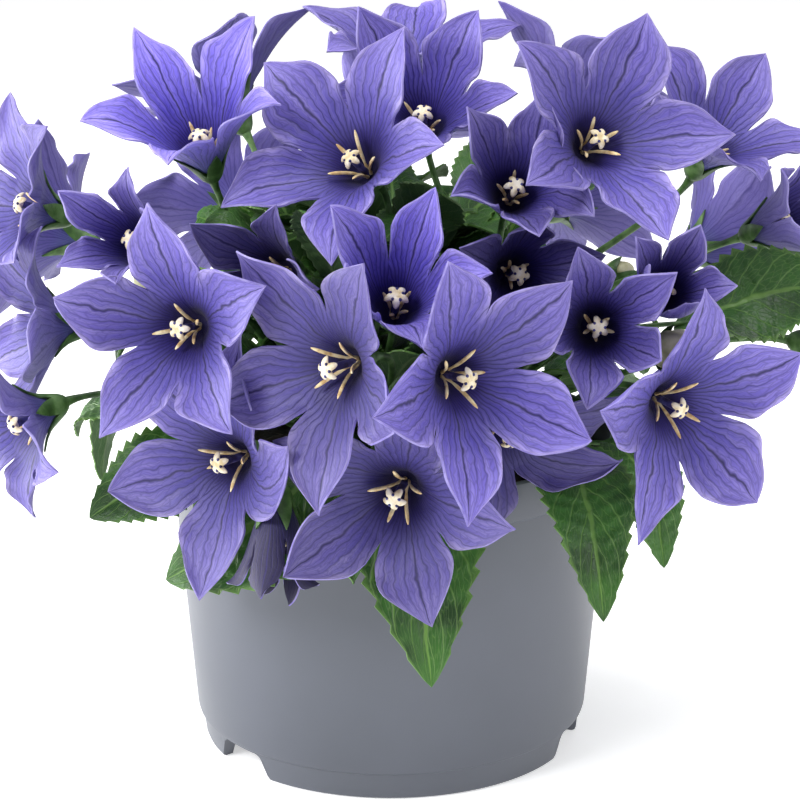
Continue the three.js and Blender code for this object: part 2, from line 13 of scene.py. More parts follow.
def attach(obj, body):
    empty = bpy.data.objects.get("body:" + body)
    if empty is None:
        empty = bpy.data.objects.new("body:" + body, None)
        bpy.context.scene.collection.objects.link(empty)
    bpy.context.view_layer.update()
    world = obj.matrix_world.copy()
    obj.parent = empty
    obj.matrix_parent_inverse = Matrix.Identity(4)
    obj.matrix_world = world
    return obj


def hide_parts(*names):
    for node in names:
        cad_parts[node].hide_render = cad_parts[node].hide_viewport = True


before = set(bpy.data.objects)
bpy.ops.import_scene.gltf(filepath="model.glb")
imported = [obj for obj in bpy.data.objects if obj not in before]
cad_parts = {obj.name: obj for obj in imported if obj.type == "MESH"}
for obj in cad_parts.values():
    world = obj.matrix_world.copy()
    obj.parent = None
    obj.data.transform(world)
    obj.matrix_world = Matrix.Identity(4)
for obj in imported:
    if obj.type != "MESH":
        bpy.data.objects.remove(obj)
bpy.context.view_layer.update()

MM = 0.001
FIVE = 5
PETAL_TURN = 72.0
HALF_TURN = 36.0

# The pot, the soil and the stems stand as in the part's source: radii and heights of the pot and its
# raised floor, azimuths of the notches in its foot, azimuth and distance of each stem.
POT = dict(height=86.0, foot=51.7, step=7.5, band=75.7, rim=61.0, wall=1.8, sides=144)
FLOOR = dict(underside=7.6, thickness=2.0, hub=12.0, drain=4.0, ring=34.0)
NOTCH = dict(top=15.0, bottom=22.0, depth=9.0, height=6.8)
NOTCHES = (-50, 70, 190)
SOIL_LEVEL = 78.0
PEAT_RINGS = 44
CRUMBS = 150
STEMS = ((-58, 26), (-8, 30), (48, 28), (112, 28), (180, 27), (-122, 27))
STEM = dict(foot=2.1, top=1.6, fork=116.0, lean=1.3)
CALYX_DEPTH = 3.6
SEPALS_PART = 0.42

# How thick the finished sheets are, and how close the corners of a seam have to be to merge.
PETAL_SKIN = 0.45
CALYX_SKIN = 0.5
LEAF_SKIN = 0.45
SEAM = 0.02

# A petal: its midrib leaves the throat steeply, and its edges part from the next petal's at the sinus.
THROAT = 2.5
SINUS = 0.4
BASE_SLOPE = 62.0
BULGE = 1.26
MIDRIB_PIECES = 60
LOBE_GAP = 0.3
FURROW_WIDTH = 0.09
ACROSS, ALONG = 14, 30
STRIP_PITCH = 3.0
# What varies from petal to petal, between which values: where the waves of the left and the right edge
# start, how close they are and how deep, how dished and how twisted the lobe is, how far its tip turns
# back, and how much narrower it is.
PETAL_LIFE = dict(left=(0, 6.3), right=(0, 6.3), beat=(1.6, 2.6), ruffle=(0.5, 1.2), dish=(-0.4, 2.8),
                  twist=(-2.2, 2.2), tip_back=(-1.6, 3.4), slimness=(0.0, 0.16))

# The middle of a bloom: heights in the stigma, how far out its lobes sit, how it is turned beside the
# petals, and from what slope of the cup on a bloom is so closed that its stamens still stand.
STIGMA = dict(middle=10.6, lobes=11.0, shadow_dots=11.6, out=1.5)
CENTRE_TURN = 18
CLOSED_CUP = 70

# Blooms, front ones first: throat place, facing (azimuth from the front towards +X, elevation), turn of
# the petals, petal length, slope of the cup at the sinus, slope of the tips.
BLOOMS = (
    (12, -88, 124, 34, 4, -14, 37, 32, 13),
    (-7, -80, 125, -42, 0, 4, 37, 24, 12),
    (64, -60, 111, 32, -6, -32, 37, 28, 10),
    (-5, -38, 161, -34, 34, 20, 38, 35, 2),
    (47, -38, 167, 24, 28, 8, 37, 38, 10),
    (-46, -58, 128, -24, 8, -28, 36, 38, 10),
    (-35, -56, 95, -38, 0, 2, 36, 26, 14),
    (4, -74, 94, -16, -8, 18, 36, 32, 8),
    (1, -62, 131, 4, 40, 11, 35, 66, 22),
    (49, -56, 127, 4, 14, -16, 33, 66, 26),
    (29, -42, 155, 8, 34, 4, 30, 60, 30),
    (9, -8, 166, -6, 44, 4, 36, 52, 24),
    (-87, -5, 145, -66, 20, -6, 34, 30, 12),
    (80, -5, 158, 36, 56, -20, 34, 40, 14),
    (-82, -12, 117, -70, 2, 14, 34, 30, 10),
    (109, 2, 136, 78, 16, 10, 34, 34, 14),
    (-86, -36, 101, -54, -14, 8, 34, 34, 14),
    (26, -60, 107, 20, -28, -20, 33, 34, 14),
    (110, -4, 110, 74, -8, -10, 34, 36, 14),
    (65, -50, 133, 8, 24, 10, 28, 74, 52),
    (-46, -20, 160, -18, 56, 10, 38, 56, 30),
    (-59, -40, 143, -26, 24, 26, 28, 72, 44),
    (94, -14, 142, 46, 24, 16, 30, 66, 34),
    (-27, -69, 87, -6, -66, 42, 25, 76, 66),
    (29, -34, 136, 16, 8, 30, 28, 56, 34),
    (-25, -38, 137, -28, 6, 16, 28, 58, 36),
    (4, 34, 172, 10, 82, 20, 36, 34, 10),
    (-42, 34, 164, -126, 54, 6, 37, 32, 10),
    (46, 38, 162, 128, 52, 14, 37, 32, 10),
    (-86, 40, 128, -112, 16, 24, 36, 32, 12),
    (84, 46, 124, 116, 14, 4, 36, 32, 12),
    (-44, 76, 128, -150, 16, 16, 37, 30, 10),
    (48, 78, 130, 148, 18, 30, 37, 30, 10),
    (2, 74, 150, 178, 40, 10, 37, 32, 8),
    (2, 92, 106, 180, -2, 24, 36, 32, 12),
)
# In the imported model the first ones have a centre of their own, and the front ones finer petals. The
# last row of corners before a petal's tip lies so far along it.
OWN_CENTRES = 17
FINE_BLOOMS = 15
FINE_LAST_ROW, LAST_ROW = 0.82, 0.7
# How light each bloom is painted beside the others: painted light where light falls full on a bloom,
# painted shade where it stands in shadow.
BLOOM_PAINTED_LIGHT = {1: 1.18, 2: 0.68, 3: 1.22, 4: 1.12, 5: 1.12, 7: 0.95, 8: 0.68, 9: 1.6, 12: 1.3, 14: 1.2,
         18: 0.6, 20: 0.9, 21: 1.65, 24: 0.12, 25: 0.7, 26: 0.7, 27: 1.2, 28: 1.1, 29: 1.1}
# Petals that are drawn in so as not to cut through a neighbour: bloom and petal, and the share left.
DRAWN_IN = {(17, 0): 0.7, (17, 1): 0.85, (20, 4): 0.7}
# Buds: where the base is, facing, and radius.
BUDS = ((68, -58, 121, 30, 30, 5.5), (-33, -50, 132, -30, 60, 4.5), (-20, 60, 158, -160, 60, 5),
        (66, 66, 112, 140, 10, 5), (-70, 64, 112, -140, 10, 5))
# Leaves: where the blade starts, what it bends over, where its tip lies, its width, its roll.
LEAVES = (
    ((3, -50, 91), (4, -66, 95), (10, -82, 44), 37, 0),
    ((-16, -52, 92), (-30, -66, 80), (-56, -56, 62), 34, -58),
    ((-42, -40, 92), (-58, -46, 88), (-76, -46, 75), 23, -60),
    ((-12, -54, 91), (-10, -70, 88), (-9, -70, 66), 15, 0),
    ((42, -44, 92), (49, -62, 96), (52, -72, 57), 24, 0),
    ((54, -36, 92), (66, -46, 94), (69, -50, 63), 19, 30),
    ((72, -30, 120), (96, -30, 132), (110, -32, 132), 26, 60),
    ((-12, -38, 130), (-19, -54, 157), (-19, -54, 154), 15, 0),
)
# Leaves by rule: how many, first and last azimuth, radius and height of the start, length, drop, width.
TIERS = ((8, 96, 264, 50, 92, 40, 24, 20), (8, 60, 316, 38, 116, 36, 6, 19),
         (3, 90, 270, 22, 128, 30, -22, 17))
TEETH = 14
INNER_LEAVES = 210

# How a petal may have been bent clear of its neighbours in the part's source, and how a leaf may have
# moved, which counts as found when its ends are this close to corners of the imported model.
BENDS = np.array([(lift, sway, reach) for reach in (1, 0.8, 0.62, 0.5)
                  for sway in (0, -14, 14, -26, 26, -38, 38)
                  for lift in (0, 8, -8, 16, -16, 25, -25, 35, -35, 46, -46, 58, -58, 70)], float)
PLACES = [(drop, turn) for drop in (0, -8, 8, -16, 16, -26) for turn in (0, -12, 12, -24, 24)]
FOUND_WITHIN = 1.2

# The studio: each lamp's place in metres, its size and its power, and the camera of the picture.
LAMPS = (("key", (-1.1, -0.9, 1.0), 0.6, 20.0), ("fill", (1.3, -0.3, 0.4), 0.7, 4.0),
         ("top", (0.1, -0.1, 1.4), 0.9, 14.0), ("edge", (-1.1, 0.3, 0.3), 0.6, 14.0))
CAMERA = dict(lens=103.9, place=(0.0024, -0.6, 0.26), looks_down=15.54)


def deselect():
    for thing in bpy.context.selected_objects:
        thing.select_set(False)


def pick(*objects):
    deselect()
    for thing in objects:
        thing.select_set(True)
    bpy.context.view_layer.objects.active = objects[0]


def copied(blank, name):
    """A copy of a shape that is modelled once, with its own mesh."""
    made = blank.copy()
    made.data = blank.data.copy()
    made.name = made.data.name = name
    bpy.context.scene.collection.objects.link(made)
    return made


def added(operator, **settings):
    """What an operator adds. Nothing else stays selected."""
    deselect()
    operator(**settings)
    return bpy.context.object


def modify(obj, kind, **settings):
    """Gives an object a modifier with its settings, and applies it."""
    modifier = obj.modifiers.new(kind.lower(), kind)
    for name, value in settings.items():
        setattr(modifier, name, value)
    pick(obj)
    bpy.ops.object.modifier_apply(modifier=modifier.name)


def coat(obj, *materials):
    """Gives a mesh its materials, in the order of their indices on its faces."""
    obj.data.materials.clear()
    for material in materials:
        obj.data.materials.append(material)


def remove(obj):
    mesh = obj.data
    bpy.data.objects.remove(obj)
    bpy.data.meshes.remove(mesh)


def corners(obj):
    """The places of a mesh's vertices, one row each."""
    flat = np.zeros(len(obj.data.vertices) * 3)
    obj.data.vertices.foreach_get("co", flat)
    return flat.reshape(-1, 3)


def move_corners(obj, places):
    obj.data.vertices.foreach_set("co", np.ascontiguousarray(places, float).ravel())
    obj.data.update()


def weld(obj, distance, outwards=False):
    """Merges doubled vertices, and turns the faces of a closed body outwards."""
    pick(obj)
    bpy.ops.object.mode_set(mode="EDIT")
    bpy.ops.mesh.select_all(action="SELECT")
    bpy.ops.mesh.remove_doubles(threshold=distance)
    if outwards:
        bpy.ops.mesh.normals_make_consistent(inside=False)
    bpy.ops.object.mode_set(mode="OBJECT")


def join(first, *others):
    pick(first, *others)
    bpy.ops.object.join()
    return first


def finish(obj, slot, angle, *nodes):
    """Smooths a piece up to an angle, scales it to metres and hands it to the frame."""
    pick(obj)
    bpy.ops.object.shade_smooth_by_angle(angle=math.radians(angle))
    move_corners(obj, corners(obj) * MM)
    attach(obj, "root")
    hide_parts(*nodes)


def linear(code):
    """An sRGB hex colour as the linear colour that a socket takes."""
    parts = [int(code[i:i + 2], 16) / 255 for i in (1, 3, 5)]
    return [c / 12.92 if c <= 0.04045 else ((c + 0.055) / 1.055) ** 2.4 for c in parts] + [1.0]


def add(tree, kind, *inputs, at=None, stops=(), **settings):
    """Adds a node with its settings and links. Its inputs come in their order, or named in at, each a
    value, a socket, or a node for its first output."""
    made = tree.nodes.new("ShaderNode" + kind)
    for name, value in settings.items():
        setattr(made, name, value)
    for key, value in [*enumerate(inputs), *(at or {}).items()]:
        if isinstance(value, bpy.types.Node):
            value = value.outputs[0]
        if isinstance(value, bpy.types.NodeSocket):
            tree.links.new(value, made.inputs[key])
        else:
            made.inputs[key].default_value = value
    if stops:
        elements = made.color_ramp.elements
        while len(elements) < len(stops):
            elements.new(0.5)
        for element, (position, code) in zip(elements, stops):
            element.position = position
            element.color = linear(code)
    return made


def new_material(name):
    """An empty material, and the function that adds nodes to it."""
    made = bpy.data.materials.new(name)
    made.use_nodes = True
    made.node_tree.nodes.clear()
    return made, functools.partial(add, made.node_tree)


def close_material(put, colour, bump, roughness, strength=0.3, distance=0.3, glow=0.0, **values):
    """Ends a material in a Principled shader, with a bump of so many millimetres. Some light may come
    through from behind."""
    at = {"Base Color": colour, "Roughness": roughness}
    if bump is not None:
        relief = {"Height": bump, "Strength": strength, "Distance": distance * MM}
        at["Normal"] = put("Bump", at=relief)
    at.update({name.replace("_", " "): value for name, value in values.items()})
    shader = put("BsdfPrincipled", at=at)
    if glow:
        shader = put("MixShader", glow, shader, put("BsdfTranslucent", colour))
    put("OutputMaterial", shader)


# Lines come at every second whole number, so this puts three of them between a midvein and an edge.
VEIN_BEAT = 6.6


def lines(put, value, width, strength):
    """Soft lines where a value comes to 0, 2, 4 and so on."""
    near = put("Math", value, 1.0, operation="PINGPONG")
    return put("MapRange", near, 0.0, width, strength, 0.0, interpolation_type="SMOOTHSTEP")


def net_of_veins(put, x, y, width, strength):
    """A net whose cells are one unit wide in both given directions."""
    cell = put("CombineXYZ", x, y)
    cells = put("TexVoronoi", at={"Vector": cell, "Scale": 1.0}, feature="DISTANCE_TO_EDGE",
                voronoi_dimensions="2D")
    return put("MapRange", cells, 0.0, width, strength, 0.0, interpolation_type="SMOOTHSTEP")


def on_sheet(put):
    """Where a point is across and along its sheet, from 0 to 1, and in the piece, in metres."""
    split = put("SeparateXYZ", put("UVMap", uv_map="UVMap"))
    return split.outputs[0], split.outputs[1], put("TexCoord").outputs["Object"]


def petal_material(name, stops, streak, edge, vein, depth, roughness):
    """Petal skin: long veins that spread from the throat, a fine net, pale streaks, with painted shade
    that darkens the throat and a painted highlight along the edges.
    """
    made, put = new_material(name)
    u, v, place = on_sheet(put)
    # the veins wander, about 5 mm from bend to bend
    wander = put("TexNoise", at={"Vector": place, "Scale": 200.0, "Detail": 2.0})
    drift = put("MapRange", wander, 0.3, 0.7, -0.03, 0.03)
    centred = put("Math", u, 0.5, operation="SUBTRACT")
    across = put("Math", centred, drift, operation="ADD")
    side = put("Math", across, operation="ABSOLUTE")
    side = put("Math", side, 2.0, operation="MULTIPLY")
    # they spread towards the edges on their way to the tip
    widening = put("Math", v, 0.8, 0.36, operation="MULTIPLY_ADD")
    spread = put("Math", side, widening, operation="DIVIDE")
    strong = put("MapRange", v, 0.25, 0.95, 1.0, 0.35)
    midvein = put("MapRange", side, 0.0, 0.075, 1.0, 0.0, interpolation_type="SMOOTHSTEP")
    # three long veins on each side, half a millimetre wide where they leave the throat
    three = put("Math", spread, VEIN_BEAT, operation="MULTIPLY")
    long_veins = put("Math", lines(put, three, 0.3, 1.0), strong, operation="MULTIPLY")
    # finer ones that branch off half way between
    late = put("MapRange", v, 0.35, 0.6, 0.0, 0.6)
    slant = put("Math", v, -6.0, operation="MULTIPLY")
    six = put("Math", spread, 2 * VEIN_BEAT, slant, operation="MULTIPLY_ADD")
    twigs = put("Math", lines(put, six, 0.22, 0.7), late, operation="MULTIPLY")
    # the net between them, in cells of about 1 by 3 mm
    cell_x = put("Math", spread, 9.0, operation="MULTIPLY")
    cell_y = put("Math", v, 13.0, operation="MULTIPLY")
    cell_y = put("Math", side, -4.0, cell_y, operation="MULTIPLY_ADD")
    net = net_of_veins(put, cell_x, cell_y, 0.16, 0.32)
    fine = put("Math", net, twigs, operation="MAXIMUM")
    strong_ones = put("Math", long_veins, midvein, operation="MAXIMUM")
    veins = put("Math", fine, strong_ones, operation="MAXIMUM")
    # painted shade: the cup is darkened out from the throat, most along the long veins
    fading = put("MapRange", v, 0.1, 0.7, 0.75, 0.0)
    painted_cup_shade = put("Math", lines(put, three, 0.9, 1.0), fading, operation="MULTIPLY")
    # colour along the petal, darker towards the throat, with cloudy patches of about 8 mm
    cloud = put("TexNoise", at={"Vector": place, "Scale": 120.0, "Detail": 3.0})
    patches = put("Math", cloud, 0.5, operation="SUBTRACT")
    along = put("Math", patches, 0.3, v, operation="MULTIPLY_ADD")
    colour = put("ValToRGB", along, stops=stops)
    # paler streaks between the veins, 1 mm wide and 10 mm long
    grain = put("CombineXYZ", cell_x, put("Math", v, 3.0, operation="MULTIPLY"), cloud)
    pale = put("TexNoise", at={"Vector": grain, "Scale": 1.0, "Detail": 3.0})
    pale = put("MapRange", pale, 0.42, 0.72, 0.0, 0.5)
    outer = put("MapRange", v, 0.2, 0.6, 0.0, 1.0)
    pale = put("Math", pale, outer, operation="MULTIPLY")
    colour = put("Mix", pale, at={6: colour, 7: linear(streak)}, data_type="RGBA").outputs[2]
    # a light edge round the lobe, a painted highlight, and a pale point at its tip
    rim = put("MapRange", side, 0.8, 1.0, 0.0, 0.7, interpolation_type="SMOOTHSTEP")
    rim = put("Math", rim, put("MapRange", v, 0.4, 0.7), operation="MULTIPLY")
    point = put("MapRange", v, 0.965, 1.0, 0.0, 0.7)
    rim = put("Math", rim, point, operation="MAXIMUM")
    colour = put("Mix", rim, at={6: colour, 7: linear(edge)}, data_type="RGBA").outputs[2]
    # the bloom's painted light and shade, times each petal's random lightness, sets the colour's value
    painted_light_and_tone = put("Attribute", attribute_name="painted_light_and_tone").outputs["Fac"]
    colour = put("HueSaturation", at={"Value": painted_light_and_tone, "Color": colour})
    # the veins and the painted shade of the cup darken the colour
    veins_and_cup_shade = put("Math", veins, painted_cup_shade, operation="MAXIMUM")
    veins_and_cup_shade = put("Math", veins_and_cup_shade, depth, operation="MULTIPLY")
    colour = put("Mix", veins_and_cup_shade, at={6: colour, 7: linear(vein)}, data_type="RGBA").outputs[2]
    # the veins are sunk into skin with a grain of under a millimetre
    skin = put("TexNoise", at={"Vector": place, "Scale": 1400.0, "Detail": 2.0})
    netted = put("Math", net, -0.4, skin, operation="MULTIPLY_ADD")
    relief = put("Math", long_veins, -1.2, netted, operation="MULTIPLY_ADD")
    close_material(put, colour, relief, roughness, glow=0.2, Sheen_Weight=0.08)
    return made


# Living petal skin, matt with a velvety sheen: veins darker than the violet. The dark first stops are
# painted shade in the throat, the light edge a painted highlight.
PETAL_FACE = petal_material(
    "petal_skin_face",
    ((0.06, "#1A1247"), (0.2, "#2E2476"), (0.4, "#4C429E"), (0.7, "#6A5EB4"), (1.0, "#7C70C0")),
    streak="#9A8ECC", edge="#B6AADC", vein="#180F48", depth=0.9, roughness=0.5)
# The outer side of the same skin: paler and more lilac, with fainter painted shade near the throat and
# the same painted highlight on its edges.
PETAL_BACK = petal_material(
    "petal_skin_back", ((0.06, "#5A62A0"), (0.25, "#665CB0"), (0.5, "#7468BA"), (1.0, "#8478C4")),
    streak="#9A8ED0", edge="#B2AAE0", vein="#33297A", depth=0.6, roughness=0.55)


def plain_skin(name, stops, patch, roughness, strength=0.25, **values):
    """A living surface whose colour drifts between a few tones in patches of so many millimetres."""
    made, put = new_material(name)
    place = put("TexCoord").outputs["Object"]
    patches = put("TexNoise", at={"Vector": place, "Scale": 1 / (patch * MM), "Detail": 4.0})
    grain = put("TexNoise", at={"Vector": place, "Scale": 900.0, "Detail": 2.0})
    colour = put("ValToRGB", patches, stops=stops)
    close_material(put, colour, grain, roughness, strength=strength, **values)
    return made


# The cut edge of a petal, thin enough for the light to come through.
PETAL_EDGE = plain_skin("petal_edge", ((0.35, "#8478C2"), (0.65, "#A59CD8")), 3.0, 0.5, glow=0.3)
# Pollen-dusted cream stigma, matt and slightly mealy, and the stamens, more buff.
CREAM = plain_skin("pollen_cream", ((0.35, "#CDB88C"), (0.5, "#E9DBBB"), (0.65, "#F4ECD8")),
                   2.0, 0.7, strength=0.5)
STAMEN = plain_skin("stamen_buff", ((0.35, "#C09C68"), (0.5, "#E2C894"), (0.65, "#F0E0B8")),
                    2.0, 0.65, strength=0.5)
# The style below its stigma, inky violet, and the dark dots between the stigma's lobes, painted shadow
# in the gaps.
STYLE_AND_GAP_SHADE = plain_skin("style_violet_and_gap_shade", ((0.35, "#1B1740"), (0.5, "#2C2A62"), (0.65, "#4A4A86")), 2.0, 0.5)
# Young green stalk and calyx skin, waxy, with a blue bloom.
STALK = plain_skin("stalk_skin", ((0.35, "#2E4A22"), (0.5, "#466A32"), (0.65, "#6C8E56")),
                   5.0, 0.45, glow=0.1)
# A closed bud, still greenish cream.
BUD = plain_skin("bud_skin", ((0.35, "#9C9C70"), (0.5, "#B8B68E"), (0.65, "#CAC6A8")), 4.0, 0.5)


def leaf_material(name, blade, light, vein, roughness):
    """Leaf skin: a light midrib, side veins that curve to the teeth, quilted patches between."""
    made, put = new_material(name)
    u, v, place = on_sheet(put)
    # the midrib wavers, about 7 mm from bend to bend
    wander = put("TexNoise", at={"Vector": place, "Scale": 150.0, "Detail": 2.0})
    drift = put("MapRange", wander, 0.3, 0.7, -0.02, 0.02)
    bent = put("Math", u, drift, operation="ADD")
    off = put("Math", bent, 0.5, operation="SUBTRACT")
    side = put("Math", off, operation="ABSOLUTE")
    side = put("Math", side, 2.0, operation="MULTIPLY")
    midrib_line = put("MapRange", side, 0.03, 0.09, 1.0, 0.0, interpolation_type="SMOOTHSTEP")
    # one side vein runs forward to every other tooth
    slant = put("Math", side, -0.34, v, operation="MULTIPLY_ADD")
    fan = lines(put, put("Math", slant, 14.0, operation="MULTIPLY"), 0.16, 0.75)
    cell_x = put("Math", bent, 16.0, operation="MULTIPLY")
    cell_y = put("Math", slant, 26.0, operation="MULTIPLY")
    net = net_of_veins(put, cell_x, cell_y, 0.12, 0.3)
    veins = put("Math", fan, net, operation="MAXIMUM")
    veins = put("Math", veins, midrib_line, operation="MAXIMUM")
    # older and younger green in patches of about 11 mm
    patches = put("TexNoise", at={"Vector": place, "Scale": 90.0, "Detail": 4.0})
    colour = put("ValToRGB", patches, stops=((0.35, blade), (0.65, light)))
    rim = put("MapRange", side, 0.86, 1.0, 0.0, 0.5)
    colour = put("Mix", rim, at={6: colour, 7: linear(vein)}, data_type="RGBA").outputs[2]
    drawn = put("Math", veins, 0.62, operation="MULTIPLY")
    colour = put("Mix", drawn, at={6: colour, 7: linear(vein)}, data_type="RGBA").outputs[2]
    skin = put("TexNoise", at={"Vector": place, "Scale": 700.0})
    relief = put("Math", veins, -1.0, skin, operation="MULTIPLY_ADD")
    close_material(put, colour, relief, roughness, strength=0.5, distance=0.4, glow=0.15)
    return made


# Leaf blade, a soft waxy shine on top and a dull grey-green beneath.
LEAF_TOP = leaf_material("leaf_upper_skin", "#22461A", "#3E7228", "#7CA650", 0.4)
LEAF_UNDER = leaf_material("leaf_lower_skin", "#4E7440", "#668A54", "#90AA74", 0.6)


def pot_material():
    """Injection-moulded grey polypropylene: matt, with a fine spark texture and faint handling dust."""
    made, put = new_material("moulded_polypropylene")
    place = put("TexCoord").outputs["Object"]
    # the spark texture is finer than the picture shows, so it is drawn half a millimetre coarse
    spark = put("TexNoise", at={"Vector": place, "Scale": 2200.0, "Detail": 3.0})
    cloud = put("TexNoise", at={"Vector": place, "Scale": 22.0, "Detail": 5.0})
    colour = put("ValToRGB", cloud, stops=((0.3, "#4F535C"), (0.7, "#565A64")))
    rough = put("MapRange", cloud, 0.3, 0.7, 0.34, 0.44)
    close_material(put, colour, spark, rough, strength=0.12, distance=0.08, IOR=1.49)
    return made


def peat_material():
    """Damp peat and bark crumbs: nearly black, dull, with fibres of brown."""
    made, put = new_material("damp_peat")
    place = put("TexCoord").outputs["Object"]
    crumbs = put("TexVoronoi", at={"Vector": place, "Scale": 420.0})
    fibre = put("TexNoise", at={"Vector": place, "Scale": 260.0, "Detail": 6.0})
    colour = put("ValToRGB", fibre, stops=((0.3, "#15100F"), (0.55, "#2C2220"), (0.75, "#4A3A30")))
    relief = put("Math", crumbs, 1.2, fibre, operation="MULTIPLY_ADD")
    close_material(put, colour, relief, 0.9, strength=0.9, distance=1.0)
    return made


POT_PLASTIC = pot_material()
PEAT = peat_material()


def ease(x):
    x = np.clip(x, 0.0, 1.0)
    return x * x * (3 - 2 * x)


def about_z(x, y, degrees):
    a = math.radians(degrees)
    return x * math.cos(a) - y * math.sin(a), x * math.sin(a) + y * math.cos(a)


def polar(azimuth, radius, z):
    """A place round the pot's axis, its azimuth taken from the front towards +X."""
    a = math.radians(azimuth)
    return np.array((radius * math.sin(a), -radius * math.cos(a), z))


class Bloom:
    """A bloom's place and facing, and how far its petals open."""

    def __init__(self, x, y, z, azimuth, elevation, spin=0.0, length=30.0, cup=60.0, tip=30.0):
        a, e = math.radians(azimuth), math.radians(elevation)
        self.throat = np.array((x, y, z), float)
        self.out = np.array((math.sin(a) * math.cos(e), -math.cos(a) * math.cos(e), math.sin(e)))
        self.down = np.array((math.sin(a) * math.sin(e), -math.cos(a) * math.sin(e), -math.cos(e)))
        self.side = np.cross(self.out, self.down)
        self.spin, self.length, self.cup, self.tip = spin, length, cup, tip

    def midrib(self, lift=0.0, reach=1.0):
        """Radius and height of a petal's midrib at even steps from throat to tip."""
        u = (np.arange(MIDRIB_PIECES) + 0.5) / MIDRIB_PIECES
        in_cup = u < SINUS
        turn = np.where(in_cup, ease(u / SINUS), ease((u - SINUS) / (1 - SINUS) * 0.8))
        end = np.where(in_cup, self.cup, self.tip + lift)
        start = np.where(in_cup, BASE_SLOPE, self.cup)
        slope = np.radians(start + (end - start) * turn)
        piece = self.length / MIDRIB_PIECES * np.where(in_cup, 1.0, reach)
        radius = THROAT + np.concatenate(([0], np.cumsum(piece * np.cos(slope))))
        height = np.concatenate(([0], np.cumsum(piece * np.sin(slope))))
        return radius, height

    def on_midrib(self, t, lift=0.0, reach=1.0):
        radius, height = self.midrib(lift, reach)
        steps = np.linspace(0, 1, MIDRIB_PIECES + 1)
        return np.interp(t, steps, radius), np.interp(t, steps, height)

    def place(self, radius, height, angle, across=0.0):
        """Where a point lies, given round the bloom's own axis."""
        radius, height, across, angle = np.broadcast_arrays(radius, height, across, np.radians(angle))
        c, s = np.cos(angle)[..., None], np.sin(angle)[..., None]
        spoke = self.down * c + self.side * s
        sideways = self.side * c - self.down * s
        return (self.throat + spoke * radius[..., None] + self.out * height[..., None]
                + sideways * across[..., None])


def packed_share(tau, cup):
    """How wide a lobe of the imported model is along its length, beside its width at the sinus."""
    bulge = (1.0 if cup > 50 else BULGE) ** np.minimum(1, 4 * tau)
    return (1 - tau) * (1 + 1.8 * tau) * (1 - 0.3 * tau ** 3) * bulge


def lobe_share(tau):
    """The same for the finished petal, whose edges swell out to the middle of the lobe."""
    return (1 - tau) * (1 + 2.4 * tau + 4.4 * tau ** 2 - 4 * tau ** 3) * (1 - 0.25 * tau ** 5)


def find_bend(flower, petal, row, vertices):
    """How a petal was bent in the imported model, told from its tip and its last row of corners."""
    sinus_radius, _ = flower.on_midrib(SINUS)
    best = (math.inf, None)
    for lift, sway, reach in BENDS:
        misses = 0.0
        for t in (1.0, row):
            tau = (t - SINUS) / (1 - SINUS)
            share = packed_share(tau, flower.cup)
            half = sinus_radius * math.sin(math.radians(HALF_TURN)) * share
            curl = sinus_radius * (1 - math.cos(math.radians(HALF_TURN))) * share * share
            radius, height = flower.on_midrib(t, lift, reach)
            angle = flower.spin + PETAL_TURN * petal + sway * tau
            for edge in ((0,) if t == 1.0 else (-1, 0, 1)):
                at = flower.place(radius - curl * abs(edge), height, angle, half * edge)
                misses += np.linalg.norm(vertices - at, axis=1).min()
        if misses < best[0]:
            best = (misses, (lift, sway, reach))
    return best[1]


def node_corners(name):
    return np.unique(np.round(corners(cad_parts[name]) / MM, 3), axis=0)


def flat_sheet(across, along, *materials):
    """A flat sheet to be shaped, in so many steps across and along."""
    blank = added(bpy.ops.mesh.primitive_grid_add, x_subdivisions=across, y_subdivisions=along,
                  size=2.0)
    coat(blank, *materials)
    return blank


def five_strips(*sheet):
    """Five flat sheets side by side, one to become each petal or sepal."""
    blank = flat_sheet(*sheet)
    modify(blank, "ARRAY", count=FIVE, use_relative_offset=False, use_constant_offset=True,
           constant_offset_displace=(STRIP_PITCH, 0.0, 0.0))
    return blank


def on_strips(blank):
    """For each corner: its strip, its place across it from -1 to 1, and along it from 0 to 1."""
    flat = corners(blank)
    strip = np.round(flat[:, 0] / STRIP_PITCH).astype(int)
    return strip, flat[:, 0] - STRIP_PITCH * strip, (flat[:, 1] + 1) / 2


def give_skin(piece, thickness, inner=0, rim=0):
    """Closes the seams of a sheet and gives it two sides and a rim, each with its own material."""
    weld(piece, SEAM)
    modify(piece, "SOLIDIFY", thickness=thickness, offset=0.0, material_offset=inner,
           material_offset_rim=rim)


